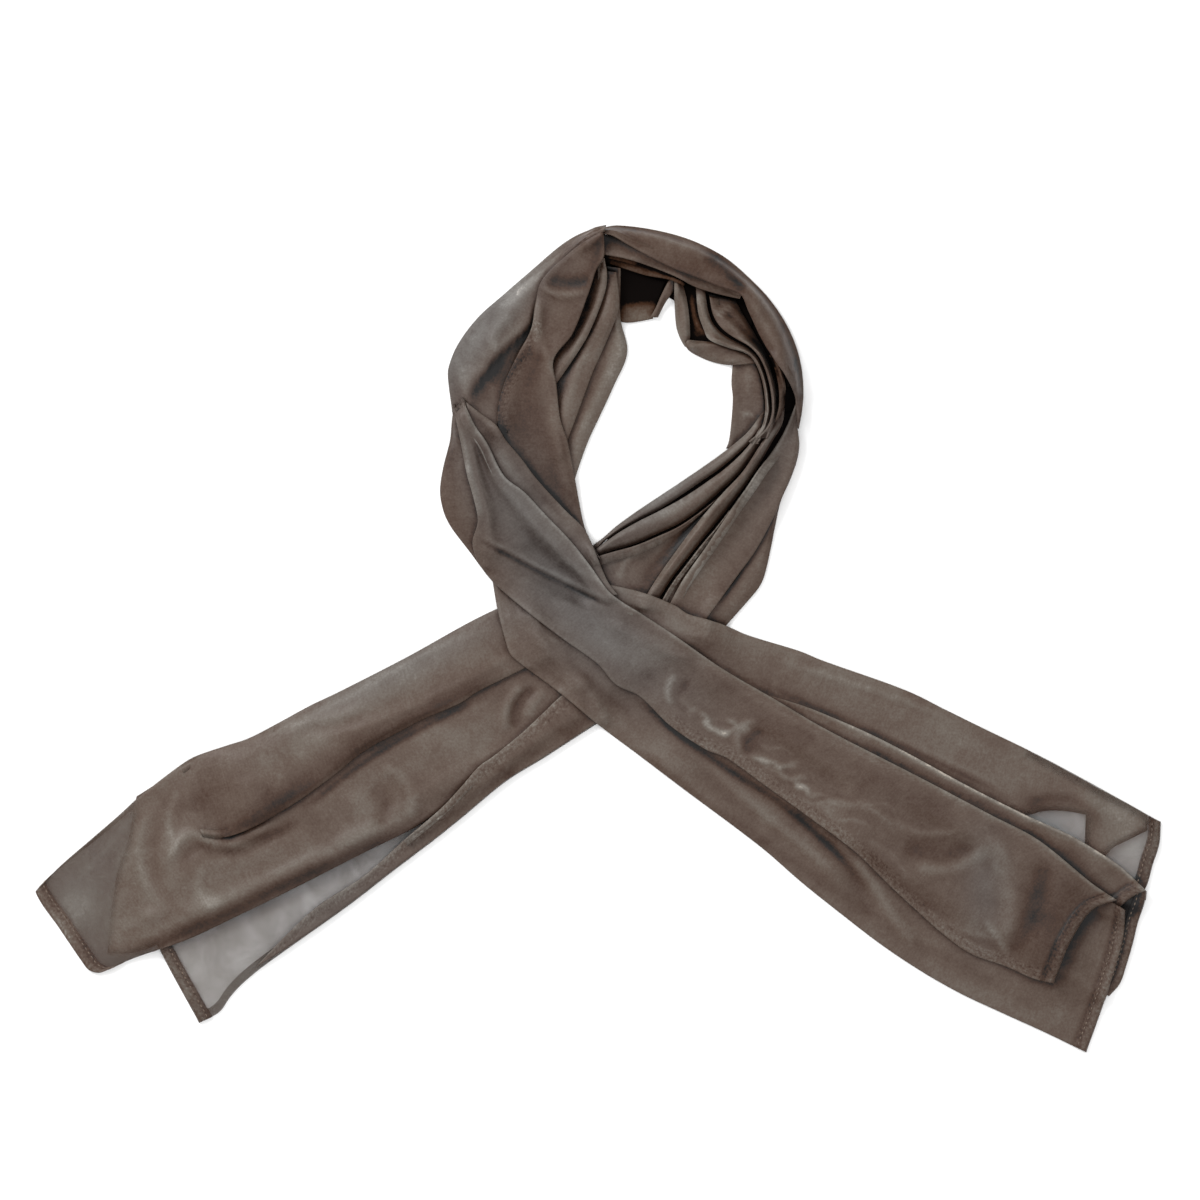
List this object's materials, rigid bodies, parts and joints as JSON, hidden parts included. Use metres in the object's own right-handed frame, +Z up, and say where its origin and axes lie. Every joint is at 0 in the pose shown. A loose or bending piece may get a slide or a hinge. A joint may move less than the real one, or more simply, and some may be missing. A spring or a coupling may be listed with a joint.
{
  "type": "mesh scarf",
  "caption": "Sheer woven mesh scarf laid flat in a loop with its two hemmed ends crossing below, in overlapping folds and pleats.",
  "frame": {"origin": "middle of the scarf's outline on the surface it lies on", "axes": "+X from the scarf's left end to its right end, +Y towards the top of the neck loop, +Z up"},
  "size_m": [0.842, 0.62, 0.0271],
  "materials": {
    "mesh_cloth": "sheer taupe woven mesh with a soft grey sheen"
  },
  "bodies": {
    "root": {"core_crossing": "mesh_cloth", "core_left_end": "mesh_cloth", "core_loop_back": "mesh_cloth", "core_loop_bend": "mesh_cloth", "core_loop_left": "mesh_cloth", "core_loop_top": "mesh_cloth", "core_right_end": "mesh_cloth", "core_right_side": "mesh_cloth", "left_end_lower_panel": "mesh_cloth", "left_end_top_roll": "mesh_cloth", "left_end_turned_edge": "mesh_cloth", "left_end_upper_panel": "mesh_cloth", "loop_back_band": "mesh_cloth", "loop_box_panel": "mesh_cloth", "loop_box_pleat_left": "mesh_cloth", "loop_box_pleat_right": "mesh_cloth", "loop_bulge": "mesh_cloth", "loop_fold_first": "mesh_cloth", "loop_fold_second": "mesh_cloth", "loop_fold_third": "mesh_cloth", "loop_inner_panel": "mesh_cloth", "loop_left_bump": "mesh_cloth", "loop_left_crossband": "mesh_cloth", "loop_left_inner_strip": "mesh_cloth", "loop_left_middle_strip": "mesh_cloth", "loop_left_outer_band": "mesh_cloth", "loop_left_outer_strip": "mesh_cloth", "loop_left_panel": "mesh_cloth", "loop_strip_lower": "mesh_cloth", "loop_strip_upper": "mesh_cloth", "loop_top_roll": "mesh_cloth", "right_end_corner_layer": "mesh_cloth", "right_end_fold_over": "mesh_cloth", "right_end_fold_under": "mesh_cloth", "right_end_front_panel": "mesh_cloth", "right_end_inner_hem_layer": "mesh_cloth", "right_end_lower_panel": "mesh_cloth", "right_end_upper_panel": "mesh_cloth", "right_outer_fold": "mesh_cloth", "right_outer_panel": "mesh_cloth", "right_panel_flat": "mesh_cloth", "right_pleat_inner": "mesh_cloth", "right_pleat_second": "mesh_cloth", "right_pleat_third": "mesh_cloth", "right_selvedge_band": "mesh_cloth"}
  },
  "joints": []
}
